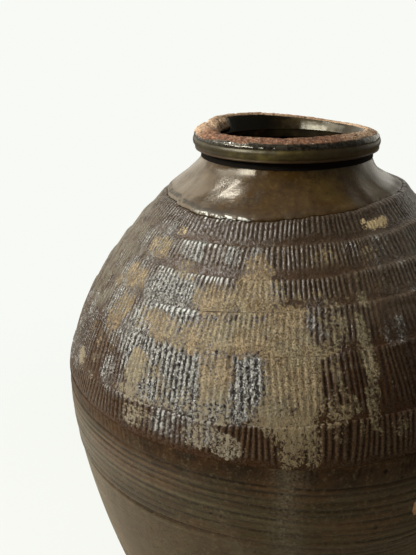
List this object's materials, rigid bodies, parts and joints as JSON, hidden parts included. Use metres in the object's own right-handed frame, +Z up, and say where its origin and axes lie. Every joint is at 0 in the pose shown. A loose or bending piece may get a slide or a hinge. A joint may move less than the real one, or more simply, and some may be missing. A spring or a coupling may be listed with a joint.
{
  "type": "rice wine jar",
  "caption": "Round-shouldered stoneware wine jar with a rolled narrow mouth, ribbed shoulder courses, turned belly lines and a flat foot.",
  "frame": {"origin": "middle of the flat base, on the surface the jar stands on", "axes": "+Z up along the jar's turning axis, out of the mouth; +X to the right and -Y towards the viewer of the picture"},
  "size_m": [0.4198, 0.4198, 0.504],
  "materials": {
    "olive_glaze": "gloss olive-brown ash glaze, worn to bare clay on the crest",
    "brown_glaze": "gloss dark brown glaze",
    "ribbed_glaze": "satin dark brown glaze over paddled ribs, with matt tan crust in patches",
    "wall_glaze": "satin olive-brown glaze over turned lines",
    "bare_clay": "unglazed red-brown stoneware"
  },
  "bodies": {
    "root": {"rim_coil": "olive_glaze", "neck_collar": "olive_glaze", "shoulder_cone": "brown_glaze", "ribbed_course_1": "ribbed_glaze", "ribbed_course_2": "ribbed_glaze", "ribbed_course_3": "ribbed_glaze", "ribbed_course_4": "ribbed_glaze", "ribbed_course_5": "ribbed_glaze", "ribbed_course_6": "ribbed_glaze", "belly_wall": "wall_glaze", "lower_wall": "wall_glaze", "foot_wall": "wall_glaze", "base_slab": "bare_clay"}
  },
  "joints": []
}
